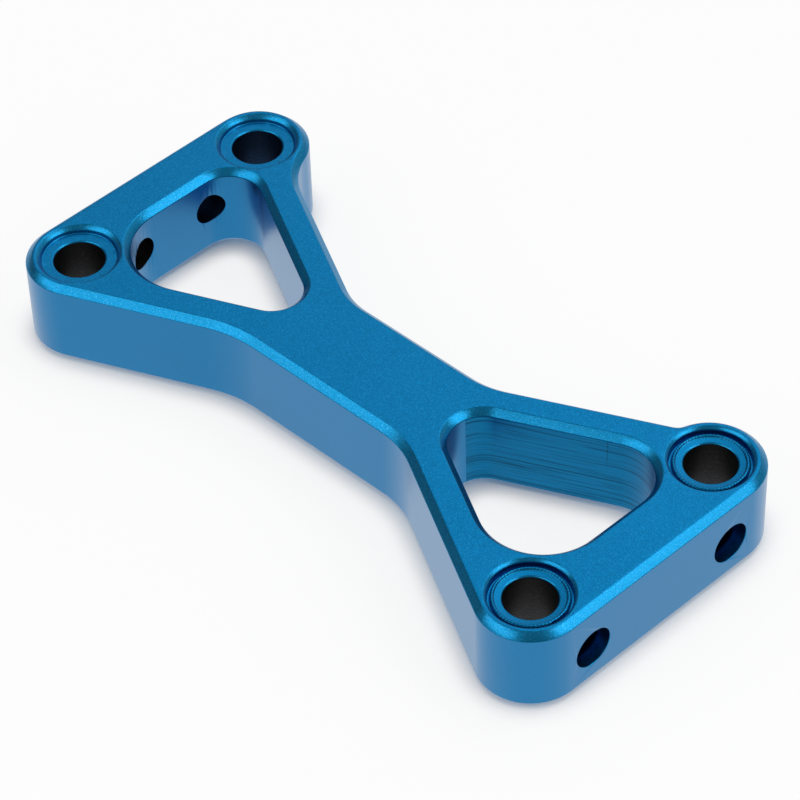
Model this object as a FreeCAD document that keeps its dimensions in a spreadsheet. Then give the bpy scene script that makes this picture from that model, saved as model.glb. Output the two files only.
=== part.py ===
"""One-piece machined aluminium bracket: a bow-tie plate with two end bars, two triangular windows,
four recessed vertical bores and a pair of cross holes in each end.

Millimetres. +X along the bracket, +Y towards the eared side, +Z up; the origin is on the underside,
midway between the four bores. The document is one PartDesign body driven by the "sizes" sheet.
"""
import FreeCAD
import Part
import math
import os
import Sketcher

V = FreeCAD.Vector
START, END, CENTRE = range(1, 4)
X_AXIS, Y_AXIS = range(-1, -3, -1)
ORIGIN_POINT = (X_AXIS, START)

# name, value, what it is
SIZES = [
    ("bore_spacing_x", 80, "vertical bores, centre to centre along X"),
    ("bore_spacing_y", 30, "vertical bores, centre to centre along Y"),
    ("boss_radius", 6.75, "rounded corner about each bore"),
    ("thickness", 12.5, "plate"),
    ("near_waist", 9.55, "bore centre line to the waist's -Y edge, at the middle"),
    ("far_waist", 4.4, "bore centre line to the waist's +Y edge, at the middle"),
    ("waist_tilt", 3.4, "degrees the waist turns towards +Y on its way to the +X end"),
    ("left_near_angle", 27, "degrees, -Y arm of the -X end"),
    ("left_far_angle", 25.3, "degrees, +Y arm of the -X end"),
    ("right_near_angle", 26, "degrees, -Y arm of the +X end"),
    ("right_far_angle", 28.6, "degrees, +Y arm of the +X end"),
    ("left_near_bend", 17, "radius from the waist into the -Y arm, -X end"),
    ("left_far_bend", 9, "radius from the waist into the +Y arm, -X end"),
    ("right_near_bend", 12.4, "radius from the waist into the -Y arm, +X end"),
    ("right_far_bend", 11, "radius from the waist into the +Y arm, +X end"),
    ("left_far_inset", 4, "outer side of the +Y arm inside its boss, -X end"),
    ("right_far_inset", 2.25, "outer side of the +Y arm inside its boss, +X end"),
    ("left_neck", 9, "hollow between that arm and its boss, -X end"),
    ("right_neck", 1.5, "hollow between that arm and its boss, +X end"),
    ("near_strut", 5.05, "width of the -Y arms beside the windows"),
    ("left_far_strut", 4.85, "width of the +Y arm beside the window, -X end"),
    ("right_far_strut", 4.55, "width of the +Y arm beside the window, +X end"),
    ("left_end_bar", 7.4, "width of the bar across the -X end"),
    ("right_end_bar", 8.1, "width of the bar across the +X end"),
    ("left_tip_corner", 3.8, "window corner radius at the waist, -X end"),
    ("left_near_corner", 8.1, "window corner radius at the -Y boss, -X end"),
    ("left_far_corner", 4.4, "window corner radius at the +Y boss, -X end"),
    ("right_tip_corner", 4.4, "window corner radius at the waist, +X end"),
    ("right_near_corner", 7.8, "window corner radius at the -Y boss, +X end"),
    ("right_far_corner", 5.6, "window corner radius at the +Y boss, +X end"),
    ("edge_chamfer", 0.92, "chamfer round the outline, top and bottom"),
    ("window_chamfer", 0.88, "chamfer round the windows, top and bottom"),
    ("bore_radius", 3.3, "vertical bores, clearance for M6"),
    ("edge_break", 0.15, "small breaks on the edges of bores and recesses"),
    ("recess_radius", 5.2, "round recess about each bore, -X end"),
    ("recess_depth", 0.95, "recess floor below the top, -X end"),
    ("recess_corner", 0.4, "slope left by the cutter between the recess's floor and wall"),
    ("socket_radius", 5.5, "round socket about each bore, +X end"),
    ("socket_depth", 1.05, "groove round the seat, below the top, +X end"),
    ("seat_radius", 4.9, "seat standing in the socket, +X end"),
    ("seat_rim", 0.4, "width of the raised rim round the seat"),
    ("rim_depth", 0.35, "seat's rim below the top"),
    ("seat_depth", 0.6, "seat's face below the top"),
    ("tap_spacing", 11.6, "cross holes of the -X end, centre to centre"),
    ("tap_radius", 2.1, "cross holes of the -X end, tapping size for M5"),
    ("tap_height", 7, "cross holes of the -X end above the underside"),
    ("tap_overrun", 2, "how far these run past the end bar's inner wall"),
    ("pin_spacing", 23, "blind holes of the +X end, centre to centre"),
    ("pin_radius", 2.7, "blind holes of the +X end"),
    ("pin_height", 5.6, "blind holes of the +X end above the underside"),
    ("pin_depth", 3, "blind holes of the +X end"),
]


class Size:
    """A length with its number, to draw a sketch near its place, and the sheet formula that drives it."""

    def __init__(self, number, formula):
        self.number = number
        self.formula = formula

    def __add__(self, other):
        return Size(self.number + other.number, f"({self.formula} + {other.formula})")

    def __sub__(self, other):
        return Size(self.number - other.number, f"({self.formula} - {other.formula})")


ZERO = Size(0, "0")


def make_sheet(doc):
    """The driving dimensions: name, value and note in each row, the value under its alias."""
    sheet = doc.addObject("Spreadsheet::Sheet", "sizes")
    table = {}
    for row, (name, value, note) in enumerate(SIZES, start=1):
        sheet.set(f"A{row}", name)
        sheet.set(f"B{row}", str(value))
        sheet.setAlias(f"B{row}", name)
        sheet.set(f"C{row}", note)
        table[name] = Size(value, f"sizes.{name}")
    doc.recompute()
    return table


def plane(body, role):
    return next(item for item in body.Origin.OriginFeatures if item.Role == role)


def sketch_on(body, role, name, **offset):
    """A sketch on one of the body's origin planes, moved by formulas for x, y and z of its own axes."""
    sketch = body.newObject("Sketcher::SketchObject", name)
    sketch.AttachmentSupport = [(plane(body, role), "")]
    sketch.MapMode = "FlatFace"
    for axis, formula in offset.items():
        sketch.setExpression(f"AttachmentOffset.Base.{axis}", formula)
    return sketch


def drive(sketch, kind, *target, formula, number):
    """A driving dimension, bound to the sheet."""
    index = sketch.addConstraint(Sketcher.Constraint(kind, *target, number))
    sketch.setExpression(f"Constraints[{index}]", formula)


def line(sketch, start, end):
    return sketch.addGeometry(Part.LineSegment(V(*start), V(*end)))


def arc(sketch, centre, start, end):
    """The arc that runs anticlockwise from start to end."""
    radius = math.dist(centre, start)
    first = math.atan2(start[1] - centre[1], start[0] - centre[0])
    last = math.atan2(end[1] - centre[1], end[0] - centre[0])
    if last < first:
        last += 2 * math.pi
    circle = Part.Circle(V(*centre), V(0, 0, 1), radius)
    return sketch.addGeometry(Part.ArcOfCircle(circle, first, last))


def along(point, direction, distance):
    return (point[0] + direction[0] * distance, point[1] + direction[1] * distance)


def meet(point, direction, other, other_direction):
    """Where two lines cross."""
    cross = direction[0] * other_direction[1] - direction[1] * other_direction[0]
    gap = (other[0] - point[0], other[1] - point[1])
    return along(point, direction, (gap[0] * other_direction[1] - gap[1] * other_direction[0]) / cross)


def rounded(corner, before, after, radius):
    """Tangent points and centre of a radius in a corner, given unit directions away from the corner."""
    cosine = before[0] * after[0] + before[1] * after[1]
    half = math.acos(cosine) / 2
    first = along(corner, before, radius / math.tan(half))
    last = along(corner, after, radius / math.tan(half))
    middle = (before[0] + after[0], before[1] + after[1])
    centre = along(corner, middle, radius / math.sin(half) / math.hypot(*middle))
    return first, last, centre


def join(sketch, chain, closed):
    """Tangent joints along a chain of (geometry, its entry end, its exit end)."""
    pairs = list(zip(chain, chain[1:]))
    if closed:
        pairs.append((chain[-1], chain[0]))
    for (one, _, leaving), (other, entering, _) in pairs:
        sketch.addConstraint(Sketcher.Constraint("Tangent", one, leaving, other, entering))


def own_sizes(size, side):
    """All sizes, and one end's own values again under their plain names: left_neck as neck."""
    return {**size, **{name.removeprefix(f"{side}_"): item for name, item in size.items()}}


def heading(degrees):
    """Unit vector at an angle from X."""
    return math.cos(math.radians(degrees)), math.sin(math.radians(degrees))


def opposite(direction):
    return -direction[0], -direction[1]


def draw_outline(sketch, size, turn):
    """Half of the outline, from the middle of the -Y waist edge round the end to the +Y one.

    turn is 1, or -1 where the sketch is seen from below. Returns the two arm lines and the end line,
    which place the window.
    """
    number = {name: item.number for name, item in size.items()}
    near, far = heading(-number["near_angle"]), heading(number["far_angle"])
    near_out, far_out = (near[1], -near[0]), (-far[1], far[0])
    outwards = heading(turn * number["waist_tilt"])
    radius = number["boss_radius"]
    bore_x, bore_y = number["bore_spacing_x"] / 2, number["bore_spacing_y"] / 2
    near_boss, far_boss = (bore_x, -bore_y), (bore_x, bore_y)

    near_tangent = along(near_boss, near_out, radius)
    near_corner = meet(near_tangent, near, (0, -number["near_waist"]), outwards)
    near_bend = rounded(near_corner, opposite(outwards), near, number["near_bend"])
    far_foot = along(far_boss, far_out, radius - number["far_inset"])
    far_corner = meet(far_foot, far, (0, number["far_waist"]), outwards)
    far_bend = rounded(far_corner, opposite(outwards), far, number["far_bend"])
    neck = number["neck"]
    lift = radius - number["far_inset"] + neck
    reach = math.sqrt((radius + neck) ** 2 - lift**2)
    neck_centre = along(along(far_boss, far_out, lift), far, -reach)
    neck_foot = along(neck_centre, far_out, -neck)
    share = radius / (radius + neck)
    neck_top = tuple(boss + (hollow - boss) * share for boss, hollow in zip(far_boss, neck_centre))
    end_near, end_far = along(near_boss, (1, 0), radius), along(far_boss, (1, 0), radius)

    near_edge = line(sketch, (0, -number["near_waist"]), near_bend[0])
    near_hollow = arc(sketch, near_bend[2], near_bend[1], near_bend[0])
    near_arm = line(sketch, near_bend[1], near_tangent)
    near_round = arc(sketch, near_boss, near_tangent, end_near)
    end_line = line(sketch, end_near, end_far)
    far_round = arc(sketch, far_boss, end_far, neck_top)
    neck_hollow = arc(sketch, neck_centre, neck_foot, neck_top)
    far_arm = line(sketch, neck_foot, far_bend[1])
    far_hollow = arc(sketch, far_bend[2], far_bend[0], far_bend[1])
    far_edge = line(sketch, far_bend[0], (0, number["far_waist"]))
    middle = line(sketch, (0, number["far_waist"]), (0, -number["near_waist"]))

    forward, backward = (START, END), (END, START)
    order = [
        (near_edge, *forward),
        (near_hollow, *backward),
        (near_arm, *forward),
        (near_round, *forward),
        (end_line, *forward),
        (far_round, *forward),
        (neck_hollow, *backward),
        (far_arm, *forward),
        (far_hollow, *backward),
        (far_edge, *forward),
    ]
    join(sketch, order, closed=False)
    sketch.addConstraint(Sketcher.Constraint("Coincident", far_edge, END, middle, START))
    sketch.addConstraint(Sketcher.Constraint("Coincident", middle, END, near_edge, START))
    for end in forward:
        sketch.addConstraint(Sketcher.Constraint("PointOnObject", middle, end, Y_AXIS))
    sketch.addConstraint(Sketcher.Constraint("Parallel", near_edge, far_edge))
    sketch.addConstraint(Sketcher.Constraint("Equal", near_round, far_round))
    sketch.addConstraint(Sketcher.Constraint("Symmetric", near_round, CENTRE, far_round, CENTRE, X_AXIS))

    half_spacing = f"{size['bore_spacing_x'].formula} / 2"
    shoulder = size["boss_radius"] - size["far_inset"]
    dimension = [
        ("Radius", (near_round,), size["boss_radius"].formula, radius),
        ("Radius", (near_hollow,), size["near_bend"].formula, number["near_bend"]),
        ("Radius", (far_hollow,), size["far_bend"].formula, number["far_bend"]),
        ("Radius", (neck_hollow,), size["neck"].formula, neck),
        ("DistanceX", (*ORIGIN_POINT, near_round, CENTRE), half_spacing, bore_x),
        ("DistanceY", (near_round, CENTRE, far_round, CENTRE), size["bore_spacing_y"].formula, 2 * bore_y),
        ("DistanceY", (near_edge, START, *ORIGIN_POINT), size["near_waist"].formula, number["near_waist"]),
        ("DistanceY", (*ORIGIN_POINT, far_edge, END), size["far_waist"].formula, number["far_waist"]),
        ("Distance", (far_round, CENTRE, far_arm), shoulder.formula, shoulder.number),
    ]
    for kind, target, formula, start in dimension:
        drive(sketch, kind, *target, formula=formula, number=start)
    fan = size["near_angle"] + size["far_angle"]
    angles = [
        ((near_edge,), f"{turn} * {size['waist_tilt'].formula}", turn * number["waist_tilt"]),
        ((near_arm,), f"-{size['near_angle'].formula}", -number["near_angle"]),
        ((near_arm, START, far_arm, END), fan.formula, fan.number),
    ]
    for target, formula, degrees in angles:
        drive(sketch, "Angle", *target, formula=f"{formula} * 1 deg", number=math.radians(degrees))
    arms = {"near": (near_arm, near_tangent, near), "far": (far_arm, far_foot, far)}
    return arms, end_line


def draw_window(sketch, size, arms, end_line):
    """A rounded triangle, a strut's width inside each arm and a bar's width inside the end."""
    number = {name: item.number for name, item in size.items()}
    near_arm, near_point, near = arms["near"]
    far_arm, far_point, far = arms["far"]
    near_point = along(near_point, (-near[1], near[0]), number["near_strut"])
    far_point = along(far_point, (far[1], -far[0]), number["far_strut"])
    wall_x = number["bore_spacing_x"] / 2 + number["boss_radius"] - number["end_bar"]
    up, down = (0, 1), (0, -1)

    tip = rounded(meet(near_point, near, far_point, far), far, near, number["tip_corner"])
    near_corner = meet(near_point, near, (wall_x, 0), up)
    near_turn = rounded(near_corner, opposite(near), up, number["near_corner"])
    far_corner = meet(far_point, far, (wall_x, 0), up)
    far_turn = rounded(far_corner, down, opposite(far), number["far_corner"])

    near_side = line(sketch, tip[1], near_turn[0])
    near_round = arc(sketch, near_turn[2], near_turn[0], near_turn[1])
    wall = line(sketch, near_turn[1], far_turn[0])
    far_round = arc(sketch, far_turn[2], far_turn[0], far_turn[1])
    far_side = line(sketch, far_turn[1], tip[0])
    tip_round = arc(sketch, tip[2], tip[0], tip[1])
    loop = [near_side, near_round, wall, far_round, far_side, tip_round]
    join(sketch, [(item, START, END) for item in loop], closed=True)
    sketch.addConstraint(Sketcher.Constraint("Parallel", near_side, near_arm))
    sketch.addConstraint(Sketcher.Constraint("Parallel", far_side, far_arm))
    sketch.addConstraint(Sketcher.Constraint("Vertical", wall))
    dimension = [
        ("Radius", (tip_round,), "tip_corner"),
        ("Radius", (near_round,), "near_corner"),
        ("Radius", (far_round,), "far_corner"),
        ("Distance", (near_side, START, near_arm), "near_strut"),
        ("Distance", (far_side, START, far_arm), "far_strut"),
        ("DistanceX", (wall, START, end_line, START), "end_bar"),
    ]
    for kind, target, name in dimension:
        drive(sketch, kind, *target, formula=size[name].formula, number=number[name])


def make_half(body, size, side):
    """One half of the plate with its window. The left half is drawn with the plane seen from below."""
    left = side == "left"
    sketch = sketch_on(body, "XY_Plane", f"{side}_profile")
    if left:
        sketch.AttachmentOffset = FreeCAD.Placement(V(), FreeCAD.Rotation(V(0, 1, 0), 180))
    own = own_sizes(size, side)
    arms, end_line = draw_outline(sketch, own, -1 if left else 1)
    draw_window(sketch, own, arms, end_line)
    pad = body.newObject("PartDesign::Pad", f"{side}_half")
    pad.Profile = sketch
    pad.Reversed = left
    pad.Refine = True
    pad.setExpression("Length", "sizes.thickness")
    body.Tip = pad
    return sketch


def edge_names(shape, wires):
    """Names of a shape's edges that lie in the given wires."""
    wanted = [edge for wire in wires for edge in wire.Edges]
    names = []
    for index, edge in enumerate(shape.Edges, start=1):
        if any(edge.isSame(other) for other in wanted):
            names.append(f"Edge{index}")
    return names


def level_faces(shape):
    """The plate's flat top and underside."""
    box = shape.BoundBox
    flat = [face for face in shape.Faces if isinstance(face.Surface, Part.Plane)]
    slack = 1e-6
    return [face for face in flat if face.BoundBox.ZLength < slack
            and min(abs(face.BoundBox.ZMin - box.ZMin), abs(face.BoundBox.ZMin - box.ZMax)) < slack]


def make_chamfer(doc, body, name, outer, formula):
    """A chamfer, top and bottom, on the outline (outer) or on the windows."""
    doc.recompute()
    base = body.Tip
    wires = []
    for face in level_faces(base.Shape):
        for wire in face.Wires:
            if wire.isSame(face.OuterWire) == outer:
                wires.append(wire)
    chamfer = body.newObject("PartDesign::Chamfer", name)
    chamfer.Base = (base, edge_names(base.Shape, wires))
    chamfer.setExpression("Size", formula)
    body.Tip = chamfer


def turn_bores(doc, body, name, side, section):
    """Two vertical bores, cut as one turned section and repeated along Y. side is -1 or +1 in X.

    The section lists (radius, height) pairs from the axis on the underside to the axis on the top.
    """
    sketch = sketch_on(body, "XZ_Plane", f"{name}_section",
                       x=f"{side} * sizes.bore_spacing_x / 2", z="sizes.bore_spacing_y / 2")
    points = [(radius.number, height.number) for radius, height in section]
    edges = [line(sketch, *ends) for ends in zip(points, points[1:] + points[:1])]
    for edge, following in zip(edges, edges[1:] + edges[:1]):
        sketch.addConstraint(Sketcher.Constraint("Coincident", edge, END, following, START))
    for edge, (radius, height) in zip(edges, section):
        for kind, item in (("DistanceX", radius), ("DistanceY", height)):
            if item is ZERO:
                axis = Y_AXIS if kind == "DistanceX" else X_AXIS
                sketch.addConstraint(Sketcher.Constraint("PointOnObject", edge, START, axis))
            else:
                drive(sketch, kind, *ORIGIN_POINT, edge, START, formula=item.formula, number=item.number)
    groove = body.newObject("PartDesign::Groove", name)
    groove.Profile = sketch
    groove.ReferenceAxis = (sketch, ["V_Axis"])
    groove.Angle = 360
    doc.recompute()
    pair = body.newObject("PartDesign::LinearPattern", f"{name}_pair")
    pair.Originals = [groove]
    pair.Direction = (plane(body, "XZ_Plane"), [""])
    pair.Reversed = True
    pair.Occurrences = 2
    pair.setExpression("Length", "sizes.bore_spacing_y")
    body.Tip = pair
    return sketch


def bore_section(size, wall, inside):
    """Section of a bore and the round cut above it; inside lists the points from the mouth to the wall."""
    bore, top, cut = size["bore_radius"], size["thickness"], size["edge_break"]
    return [
        (ZERO, ZERO),
        (bore + cut, ZERO),
        (bore, cut),
        *inside,
        (wall, top - cut),
        (wall + cut, top),
        (ZERO, top),
    ]


def make_bores(doc, body, size):
    """Plain recesses at the -X end; at the +X end a rimmed seat stands inside a socket."""
    bore, top, cut = size["bore_radius"], size["thickness"], size["edge_break"]
    recess, corner = size["recess_radius"], size["recess_corner"]
    floor = top - size["recess_depth"]
    plain = [(bore, floor - cut), (bore + cut, floor), (recess - corner, floor), (recess, floor + corner)]
    socket, seat = size["socket_radius"], size["seat_radius"]
    face, rim = top - size["seat_depth"], top - size["rim_depth"]
    foot = top - size["socket_depth"]
    seated = [
        (bore, face - cut),
        (bore + cut, face),
        (seat - size["seat_rim"], face),
        (seat - size["seat_rim"], rim),
        (seat - cut, rim),
        (seat, rim - cut),
        (seat, foot),
        (socket, foot),
    ]
    left = turn_bores(doc, body, "left_bores", -1, bore_section(size, recess, plain))
    right = turn_bores(doc, body, "right_bores", 1, bore_section(size, socket, seated))
    return [left, right]


def drill_end(doc, body, name, side, spacing, radius, height, depth):
    """Two cross holes drilled along X into an end face. side is -1 or +1 in X."""
    sketch = sketch_on(body, "YZ_Plane", f"{name}_centres",
                       z=f"{side} * (sizes.bore_spacing_x / 2 + sizes.boss_radius)")
    circles = []
    for sign in (-1, 1):
        centre = V(sign * spacing.number / 2, height.number, 0)
        circles.append(sketch.addGeometry(Part.Circle(centre, V(0, 0, 1), radius.number)))
    near, far = circles
    sketch.addConstraint(Sketcher.Constraint("Equal", near, far))
    sketch.addConstraint(Sketcher.Constraint("Symmetric", near, CENTRE, far, CENTRE, Y_AXIS))
    drive(sketch, "Radius", near, formula=radius.formula, number=radius.number)
    drive(sketch, "DistanceX", near, CENTRE, far, CENTRE, formula=spacing.formula, number=spacing.number)
    drive(sketch, "DistanceY", *ORIGIN_POINT, near, CENTRE, formula=height.formula, number=height.number)
    pocket = body.newObject("PartDesign::Pocket", name)
    pocket.Profile = sketch
    pocket.Reversed = side < 0
    pocket.setExpression("Length", depth.formula)
    doc.recompute()
    body.Tip = pocket
    return sketch


def build(doc):
    size = make_sheet(doc)
    body = doc.addObject("PartDesign::Body", "bracket")
    body.Label = "bracket"
    body.Placement = FreeCAD.Placement()
    sketches = [make_half(body, size, side) for side in ("right", "left")]
    make_chamfer(doc, body, "outline_chamfer", True, "sizes.edge_chamfer")
    make_chamfer(doc, body, "window_chamfer", False, "sizes.window_chamfer")
    sketches += make_bores(doc, body, size)
    through = size["left_end_bar"] + size["tap_overrun"]
    sketches.append(drill_end(doc, body, "tap_holes", -1, size["tap_spacing"], size["tap_radius"],
                              size["tap_height"], through))
    sketches.append(drill_end(doc, body, "pin_holes", 1, size["pin_spacing"], size["pin_radius"],
                              size["pin_height"], size["pin_depth"]))
    doc.recompute()
    return body, sketches


def check(doc, body, sketches):
    """Stops on a failed object, a loose sketch, a feature that changed nothing or a broken solid."""
    for item in doc.Objects:
        if "Invalid" in item.State or "Error" in item.State:
            raise RuntimeError(f"{item.Name} failed: {item.State}")
    for sketch in sketches:
        if not sketch.FullyConstrained:
            raise RuntimeError(f"{sketch.Name} has loose ends")
    features = [item for item in body.Group if item.isDerivedFrom("PartDesign::Feature")]
    volumes = [item.Shape.Volume for item in features]
    for item, before, after in zip(features[1:], volumes, volumes[1:]):
        if abs(after - before) < 1e-3:
            raise RuntimeError(f"{item.Name} changed nothing")
    shape = body.Shape
    if shape.isNull() or not shape.isValid() or len(shape.Solids) != 1:
        raise RuntimeError("bracket is not one valid solid")


document = FreeCAD.newDocument("bracket")
bracket, drawn = build(document)
check(document, bracket, drawn)
os.makedirs("parts", exist_ok=True)
bracket.Shape.exportStep(f"parts/{bracket.Label}.step")
box = bracket.Shape.BoundBox
print(f"{bracket.Label}: {box.XLength:.2f} x {box.YLength:.2f} x {box.ZLength:.2f} mm, "
      f"{bracket.Shape.Volume:.0f} mm3, {len(bracket.Shape.Faces)} faces")
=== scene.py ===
import bpy
import bmesh
import math
from mathutils import Matrix, Vector


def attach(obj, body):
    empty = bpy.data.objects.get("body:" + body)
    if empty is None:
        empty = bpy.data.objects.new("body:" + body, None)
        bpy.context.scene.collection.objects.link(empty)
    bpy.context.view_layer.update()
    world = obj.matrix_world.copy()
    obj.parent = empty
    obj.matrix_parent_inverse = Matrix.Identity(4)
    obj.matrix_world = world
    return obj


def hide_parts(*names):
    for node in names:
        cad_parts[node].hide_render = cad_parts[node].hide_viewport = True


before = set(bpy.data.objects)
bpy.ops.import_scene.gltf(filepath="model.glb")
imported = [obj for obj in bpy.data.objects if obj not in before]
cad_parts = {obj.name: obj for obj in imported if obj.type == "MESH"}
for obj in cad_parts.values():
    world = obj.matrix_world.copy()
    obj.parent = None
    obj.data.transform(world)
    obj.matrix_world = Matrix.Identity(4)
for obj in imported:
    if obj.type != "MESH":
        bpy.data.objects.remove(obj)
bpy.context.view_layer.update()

MM = 0.001
PLATE_TOP = 12.5
BORE_X, BORE_Y = 40.0, 15.0
BORE_RADIUS = 3.3

# Rings of the turned cuts round the bores, as (radius, height) in mm: as machined, then as finished
# by hand, with wide broken mouths.
RECESS_RINGS = (
    ((5.35, 12.5), (5.4, 12.5)),
    ((5.2, 12.35), (4.88, 11.98)),
    ((5.2, 11.95), (4.8, 11.75)),
    ((4.8, 11.55), (4.76, 11.5)),
    ((3.45, 11.55), (3.42, 11.5)),
    ((3.3, 11.4), (3.24, 11.3)),
)
SOCKET_RINGS = (
    ((5.65, 12.5), (5.42, 12.5)),
    ((5.5, 12.35), (5.05, 12.12)),
    ((5.5, 11.45), (5.05, 11.2)),
    ((4.9, 11.45), (4.65, 11.2)),
    ((4.9, 12.0), (4.65, 11.8)),
    ((4.75, 12.15), (4.52, 11.92)),
    ((4.5, 12.15), (4.3, 11.92)),
    ((4.5, 11.9), (4.2, 11.66)),
    ((3.45, 11.9), (3.42, 11.66)),
    ((3.3, 11.75), (3.24, 11.46)),
)
RING_REACH = 0.06
EDGE_ROUND = 0.09
SHARP_ANGLE = 24


class Value:
    """A socket of a finish's nodes; sums written with it add Math nodes."""

    def __init__(self, finish, socket):
        self.finish = finish
        self.socket = socket

    def math(self, operation, *terms):
        return self.finish.node("ShaderNodeMath", {"operation": operation}, dict(enumerate(terms)))

    def __add__(self, other):
        return self.math("ADD", self, other)

    def __radd__(self, other):
        return self.math("ADD", other, self)

    def __sub__(self, other):
        return self.math("SUBTRACT", self, other)

    def __rsub__(self, other):
        return self.math("SUBTRACT", other, self)

    def __mul__(self, other):
        return self.math("MULTIPLY", self, other)

    def __rmul__(self, other):
        return self.math("MULTIPLY", other, self)

    def __truediv__(self, other):
        return self.math("DIVIDE", self, other)

    def __pow__(self, other):
        return self.math("POWER", self, other)

    def __abs__(self):
        return self.math("ABSOLUTE", self)


class Finish:
    """The node tree of one finish, and the few ways in which nodes are added to it."""

    def __init__(self, holder):
        holder.use_nodes = True
        self.tree = holder.node_tree

    def node(self, kind, settings=None, inputs=None, out=0):
        """Adds a node: its settings first, then the values or links of its sockets."""
        node = self.tree.nodes.new(kind)
        for name, value in (settings or {}).items():
            setattr(node, name, value)
        for name, value in (inputs or {}).items():
            self.feed(node.inputs[name], value)
        return Value(self, node.outputs[out])

    def feed(self, socket, value):
        if isinstance(value, Value):
            self.tree.links.new(value.socket, socket)
        else:
            socket.default_value = value

    def place(self):
        """Object coordinates as a vector and as x, y and z in mm."""
        spot = self.node("ShaderNodeTexCoord", out="Object")
        parts = self.node("ShaderNodeSeparateXYZ", inputs={0: spot}).socket.node.outputs
        return spot, [Value(self, parts[axis]) / MM for axis in "XYZ"]

    def step(self, value, low, high, start=0.0, end=1.0):
        """Goes smoothly from start to end as value goes from low to high."""
        return self.node("ShaderNodeMapRange", {"interpolation_type": "SMOOTHSTEP"},
                         {"Value": value, "From Min": low, "From Max": high, "To Min": start, "To Max": end})

    def band(self, value, low, high, soft):
        """1 between low and high, 0 outside."""
        return self.step(value, low - soft, low + soft) * self.step(value, high - soft, high + soft, 1.0, 0.0)

    def noise(self, spot, scale, detail=2.0, roughness=0.5, stretch=(1, 1, 1)):
        moved = self.node("ShaderNodeMapping", inputs={"Vector": spot, "Scale": stretch})
        return self.node("ShaderNodeTexNoise", inputs={
            "Vector": moved, "Scale": scale, "Detail": detail, "Roughness": roughness})

    def mix(self, share, first, second):
        return self.node("ShaderNodeMix", {"data_type": "RGBA"},
                         {0: share, 6: first, 7: second}, out=2)

    def tint(self, colour, factor):
        """A colour times a value."""
        scaled = self.node("ShaderNodeVectorMath", {"operation": "SCALE"}, {0: colour, "Scale": factor})
        return scaled

    def bump(self, height, strength, distance):
        return self.node("ShaderNodeBump", inputs={
            "Height": height, "Strength": strength, "Distance": distance})

    def principled(self, **sockets):
        shader = self.tree.nodes["Principled BSDF"]
        for name, value in sockets.items():
            self.feed(shader.inputs[name.replace("_", " ")], value)


def new_finish(name):
    material = bpy.data.materials.new(name)
    return material, Finish(material)


def bore_distance(finish, x, y):
    """Distance in mm from the nearest vertical bore's axis, and the angle round it."""
    across = abs(x) - BORE_X
    along = abs(y) - BORE_Y
    radius = (across * across + along * along) ** 0.5
    return radius, across.math("ARCTAN2", along, across)


def blasted_blue():
    """Blue anodising over a fine bead-blasted skin, with the cutter's ticks round the seats; with painted light
    too: painted glints, a paler painted highlight on the chamfers and painted shade deep in the +X cross holes.
    """
    material, finish = new_finish("anodised_blue")
    spot, (x, y, z) = finish.place()
    grain = finish.noise(spot, 5400, 2.0, 0.6)
    sparkle = finish.noise(spot, 9000, 1.0)
    cloud = finish.noise(spot, 90, 2.0)
    radius, angle = bore_distance(finish, x, y)
    seat = finish.band(radius, 4.15, 4.68, 0.03) * finish.step(x, 0, 1) * finish.step(z, 11.3, 11.4)
    ticks = finish.step((angle * 64).math("SINE", angle * 64), 0.0, 0.8) * seat
    turned = finish.step(radius, 5.0, 4.9, 0, 1) * finish.step(z, 11.2, 11.3) * (1 - seat)
    rings = finish.step((radius * 34).math("SINE", radius * 34), -1, 1) * turned
    # Painted glint: where the sparkle noise peaks the colour is made lighter, and further down a pale
    # blue-white is mixed in, as points of reflected light.
    painted_glint = finish.step(sparkle, 0.54, 0.72)
    tone = 0.50 + grain * 0.80 + painted_glint * 0.35 + cloud * 0.1
    # Painted shade: inside the two cross holes of the +X end, from about 1.5 mm below the mouth to the blind
    # floor, the colour is darkened almost to black.
    pin = ((abs(y) - 11.5) ** 2.0 + (z - 5.6) ** 2.0) ** 0.5
    painted_hole_shade = finish.step(pin, 2.8, 2.75) * finish.step(x, 45.3, 44.7) * finish.step(x, 43, 43.5)
    tone = tone * (1 - ticks * 0.35) * (1 - rings * 0.08) * (1 - painted_hole_shade * 0.96)
    # Painted highlight: faces at a slant (the chamfers) get a greener, paler blue, standing for the cyan cast
    # of their bright reflections; the same mask strengthens the painted glints.
    slope = finish.node("ShaderNodeSeparateXYZ", inputs={0: finish.node("ShaderNodeNewGeometry", out="Normal")},
                        out="Z")
    chamfer = finish.band(slope, 0.35, 0.93, 0.03)
    chamfer_highlight_blue = finish.mix(chamfer, (0.0035, 0.19, 0.44, 1), (0.007, 0.215, 0.445, 1))
    # Painted glints: pale blue-white mixed into the colour at the sparkle spots, more strongly on the chamfers.
    bright = finish.mix(painted_glint * (0.02 + chamfer * 0.06), chamfer_highlight_blue, (0.35, 0.65, 0.8, 1))
    base = finish.tint(bright, tone)
    height = grain * 0.6 + sparkle * 0.4 - ticks * 2.0
    finish.principled(
        Base_Color=base, Metallic=1.0, Roughness=0.27 + grain * 0.08,
        Normal=finish.bump(height, 0.22, 0.05 * MM))
    return material


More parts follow.
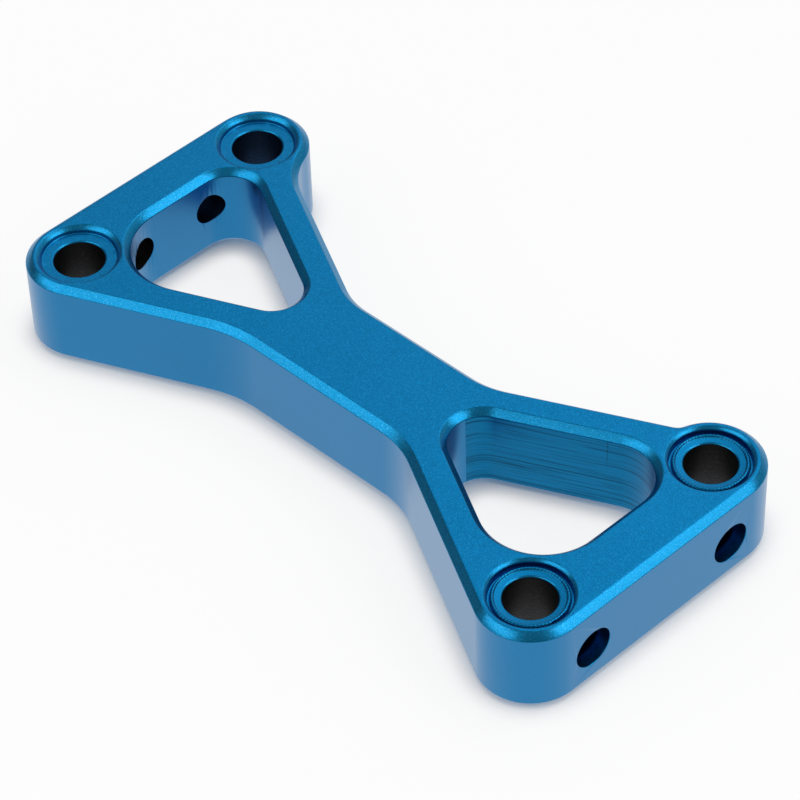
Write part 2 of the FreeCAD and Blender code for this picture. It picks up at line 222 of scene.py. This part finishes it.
def milled_wall():
    """The same blue where a side mill has left its fine level lines."""
    material, finish = new_finish("milled_wall")
    spot, (x, y, z) = finish.place()
    lines = finish.noise(spot, 1000, 2.0, 0.6, (0.035, 0.035, 3.2))
    broken = finish.noise(spot, 1000, 2.0, 0.6, (0.12, 0.12, 6.0))
    grain = finish.noise(spot, 5000, 2.0)
    dark = finish.step(lines, 0.50, 0.36) * 0.42 + finish.step(broken, 0.47, 0.36) * 0.25
    witness = finish.band(x, 28.9, 29.05, 0.05) * finish.step(z, 7, 9)
    tone = (0.92 + grain * 0.2) * (1 - dark) * (1 - witness * 0.3)
    finish.principled(
        Base_Color=finish.tint((0.004, 0.165, 0.36), tone), Metallic=1.0, Roughness=0.34,
        Normal=finish.bump(lines * 0.5 + broken * 0.5, 0.25, 0.05 * MM))
    return material


def side_wall():
    """The outer walls: finer than the top, with the clear seal of the anodising showing at a slant."""
    material, finish = new_finish("side_wall")
    spot, (x, y, z) = finish.place()
    grain = finish.noise(spot, 5200, 2.0)
    cloud = finish.noise(spot, 120, 2.0)
    finish.principled(
        Base_Color=finish.tint((0.004, 0.19, 0.43), 0.86 + grain * 0.2 + cloud * 0.08),
        Metallic=1.0, Roughness=0.32, Coat_Weight=0.42, Coat_Roughness=0.3, Coat_IOR=1.5,
        Normal=finish.bump(grain, 0.1, 0.03 * MM))
    return material


def shaded_bore_wall():
    """Turned walls inside the bores and tapped holes, their colour painted near black as the shade inside them,
    navy at the bore at (-40, 15).
    """
    material, finish = new_finish("shaded_bore_wall")
    spot, (x, y, z) = finish.place()
    turning = finish.noise(spot, 1000, 2.0, 0.6, (0.25, 0.25, 5.0))
    speckle = finish.noise(spot, 3500, 3.0, 0.65)
    navy = finish.step(x, 1, -1) * finish.step(y, -1, 1)
    # Painted shade: the bore walls' colour is near black, a navy-tinted dark at the bore at (-40, 15).
    base = finish.mix(navy, (0.052, 0.053, 0.056, 1), (0.022, 0.055, 0.12, 1))
    tone = 0.55 + turning * 0.5 + finish.step(speckle, 0.5, 0.75) * 0.7
    finish.principled(
        Base_Color=finish.tint(base, tone), Metallic=1.0, Roughness=0.42,
        Normal=finish.bump(turning * 0.6 + speckle * 0.4, 0.3, 0.05 * MM))
    return material


def shift_rings(bm, side, rings):
    """Moves each ring of the turned cuts at one end to its finished radius and height."""
    for vertex in bm.verts:
        x, y, z = vertex.co / MM
        if x * side < 0:
            continue
        centre = Vector((BORE_X * side, math.copysign(BORE_Y, y)))
        out = Vector((x, y)) - centre
        for (old_radius, old_height), (radius, height) in rings:
            if abs(out.length - old_radius) < RING_REACH and abs(z - old_height) < RING_REACH:
                place = centre + out.normalized() * radius
                vertex.co = Vector((place.x, place.y, height)) * MM
                break


def wall_kind(face):
    """0 for the blasted skin, 1 for the milled window wall, 2 for bored walls, 3 for plain side walls."""
    corners = [vertex.co / MM for vertex in face.verts]

    def within(first, middle, second, height, radius):
        """Whether every corner lies in a round hole; the middle is taken on both sides of the plate."""
        return all(math.hypot(abs(corner[first]) - middle, corner[second] - height) < radius
                   if second == 2 else
                   math.hypot(abs(corner[first]) - middle, abs(corner[second]) - height) < radius
                   for corner in corners)

    highest = max(corner.z for corner in corners)
    if within(0, BORE_X, 1, BORE_Y, BORE_RADIUS + 0.02) and highest < 11.6:
        return 2
    middle = sum(corners, Vector()) / len(corners)
    if middle.x < -38 and abs(face.normal.x) < 0.5 and within(1, 5.8, 2, 7, 2.15):
        return 2
    if abs(face.normal.z) > 0.3:
        return 0
    inside = 5 < middle.x < 36 and abs(middle.y) < 14.5
    if inside and Vector((middle.x - 24, middle.y)).dot(face.normal.to_2d()) < 0 and face.normal.y < -0.2:
        return 1
    near_bore = math.hypot(abs(middle.x) - BORE_X, abs(middle.y) - BORE_Y) < 5.6
    return 0 if near_bore and highest > 11 else 3


def machined_body(node, finishes):
    mesh = bpy.data.meshes.new("machined_body")
    bm = bmesh.new()
    bm.from_mesh(node.data)
    bmesh.ops.remove_doubles(bm, verts=bm.verts, dist=0.002 * MM)
    bmesh.ops.dissolve_limit(bm, angle_limit=math.radians(0.2), verts=bm.verts, edges=bm.edges)
    shift_rings(bm, -1, RECESS_RINGS)
    shift_rings(bm, 1, SOCKET_RINGS)
    bm.normal_update()
    for face in bm.faces:
        face.material_index = wall_kind(face)
    corners = [edge for edge in bm.edges if edge.calc_face_angle(0) > math.radians(SHARP_ANGLE)]
    bmesh.ops.bevel(bm, geom=corners, offset=EDGE_ROUND * MM, offset_type="OFFSET", segments=2, profile=0.5,
                    affect="EDGES", clamp_overlap=False, material=-1)
    bmesh.ops.triangulate(bm, faces=bm.faces, quad_method="BEAUTY", ngon_method="BEAUTY")
    for face in bm.faces:
        face.smooth = True
    bm.to_mesh(mesh)
    bm.free()
    for finish in finishes:
        mesh.materials.append(finish)
    piece = bpy.data.objects.new("machined_body", mesh)
    bpy.context.scene.collection.objects.link(piece)
    shading = piece.modifiers.new("flat_faces", "WEIGHTED_NORMAL")
    shading.keep_sharp = True
    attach(piece, "root")
    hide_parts("bracket")
    return piece


def pale_floor():
    bm = bmesh.new()
    bmesh.ops.create_grid(bm, x_segments=1, y_segments=1, size=3)
    bmesh.ops.translate(bm, verts=bm.verts, vec=(0, 0, -0.05 * MM))
    mesh = bpy.data.meshes.new("pale_floor")
    bm.to_mesh(mesh)
    bm.free()
    floor = bpy.data.objects.new("pale_floor", mesh)
    bpy.context.scene.collection.objects.link(floor)
    material, finish = new_finish("pale_floor")
    finish.principled(Base_Color=(0.97, 0.97, 0.97, 1), Roughness=0.8, Specular_IOR_Level=0.0)
    rays = finish.tree.nodes.new("ShaderNodeLightPath").outputs
    camera, glossy = (Value(finish, rays[name]) for name in ("Is Camera Ray", "Is Glossy Ray"))
    glow = finish.node("ShaderNodeEmission", inputs={"Color": (1, 1, 1, 1), "Strength": 1.0})
    plain = Value(finish, finish.tree.nodes["Principled BSDF"].outputs[0])
    # Painted contact shade: the floor's camera-ray glow fades where ambient occlusion finds the body close by,
    # so the floor darkens along the body's foot.
    near = finish.node("ShaderNodeAmbientOcclusion", {"samples": 8}, {"Distance": 4 * MM}, out="AO")
    share = FLOOR_GLOW * (camera * finish.step(near, 0.35, 0.95, 0.1, 1.0) + glossy)
    both = finish.node("ShaderNodeMixShader", inputs={0: share, 1: plain, 2: glow})
    finish.feed(finish.tree.nodes["Material Output"].inputs["Surface"], both)
    mesh.materials.append(material)


FLOOR_GLOW = 0.85

# The room: each patch of light as (direction, strength, tightness).
ROOM_LEVEL = 0.2
ROOM_LIGHTS = (
    ((-0.2, 0.55, 0.8), 1.05, 6.0),
    ((0.0, 0.9, 0.3), 0.25, 4.0),
    ((0.52, -0.47, 0.71), 0.15, 6.0),
)


def room():
    world = bpy.data.worlds.new("room")
    finish = Finish(world)
    heading = finish.node("ShaderNodeTexCoord", out="Generated")
    level = ROOM_LEVEL
    for direction, strength, tightness in ROOM_LIGHTS:
        toward = Vector(direction).normalized()
        facing = finish.node("ShaderNodeVectorMath", {"operation": "DOT_PRODUCT"},
                             {0: heading, 1: tuple(toward)}, out="Value")
        level = level + ((facing - 1) * tightness).math("EXPONENT", (facing - 1) * tightness) * strength
    finish.feed(finish.tree.nodes["Background"].inputs["Color"], (1, 1, 1, 1))
    finish.feed(finish.tree.nodes["Background"].inputs["Strength"], level)
    bpy.context.scene.world = world


def softbox(name, direction, distance, width, height, level):
    """A rectangular lamp that faces the origin; level is how bright its face looks."""
    lamp = bpy.data.lights.new(name, "AREA")
    lamp.shape = "RECTANGLE"
    lamp.size, lamp.size_y = width, height
    lamp.energy = level * width * height * math.pi
    box = bpy.data.objects.new(name, lamp)
    bpy.context.scene.collection.objects.link(box)
    toward = Vector(direction).normalized()
    box.matrix_world = (Matrix.Translation(toward * distance)
                        @ toward.to_track_quat("Z", "Y").to_matrix().to_4x4())


def place_camera():
    azimuth, elevation, roll = (math.radians(angle) for angle in (47.96, 45.32, -2.05))
    aim = Vector((2.61, -0.175, 6.25)) * MM
    distance = 443.45 * MM
    back = Vector((math.sin(azimuth) * math.cos(elevation), -math.cos(azimuth) * math.cos(elevation),
                   math.sin(elevation)))
    level = Vector((math.cos(azimuth), math.sin(azimuth), 0))
    rise = back.cross(level)
    right = level * math.cos(roll) + rise * math.sin(roll)
    up = back.cross(right)
    data = bpy.data.cameras.new("camera")
    data.lens = 163.26
    data.sensor_width = 36
    data.clip_start, data.clip_end = 0.01, 20
    camera = bpy.data.objects.new("camera", data)
    bpy.context.scene.collection.objects.link(camera)
    turn = Matrix((right, up, back)).transposed().to_4x4()
    camera.matrix_world = Matrix.Translation(aim + back * distance) @ turn
    bpy.context.scene.camera = camera


body = machined_body(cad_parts["bracket"], [blasted_blue(), milled_wall(), shaded_bore_wall(), side_wall()])
pale_floor()
room()
softbox("left_softbox", (-0.22, -0.76, 0.58), 1.2, 1.25, 0.6, 2.0)
softbox("right_softbox", (0.76, 0.33, 0.56), 1.2, 0.8, 0.6, 2.6)
softbox("top_softbox", (0.13, 0.47, 0.86), 1.6, 0.45, 0.45, 3.2)
softbox("edge_softbox", (-0.52, -0.16, 0.82), 1.6, 0.35, 0.35, 2.6)
place_camera()

bpy.context.scene.view_settings.view_transform = "Standard"
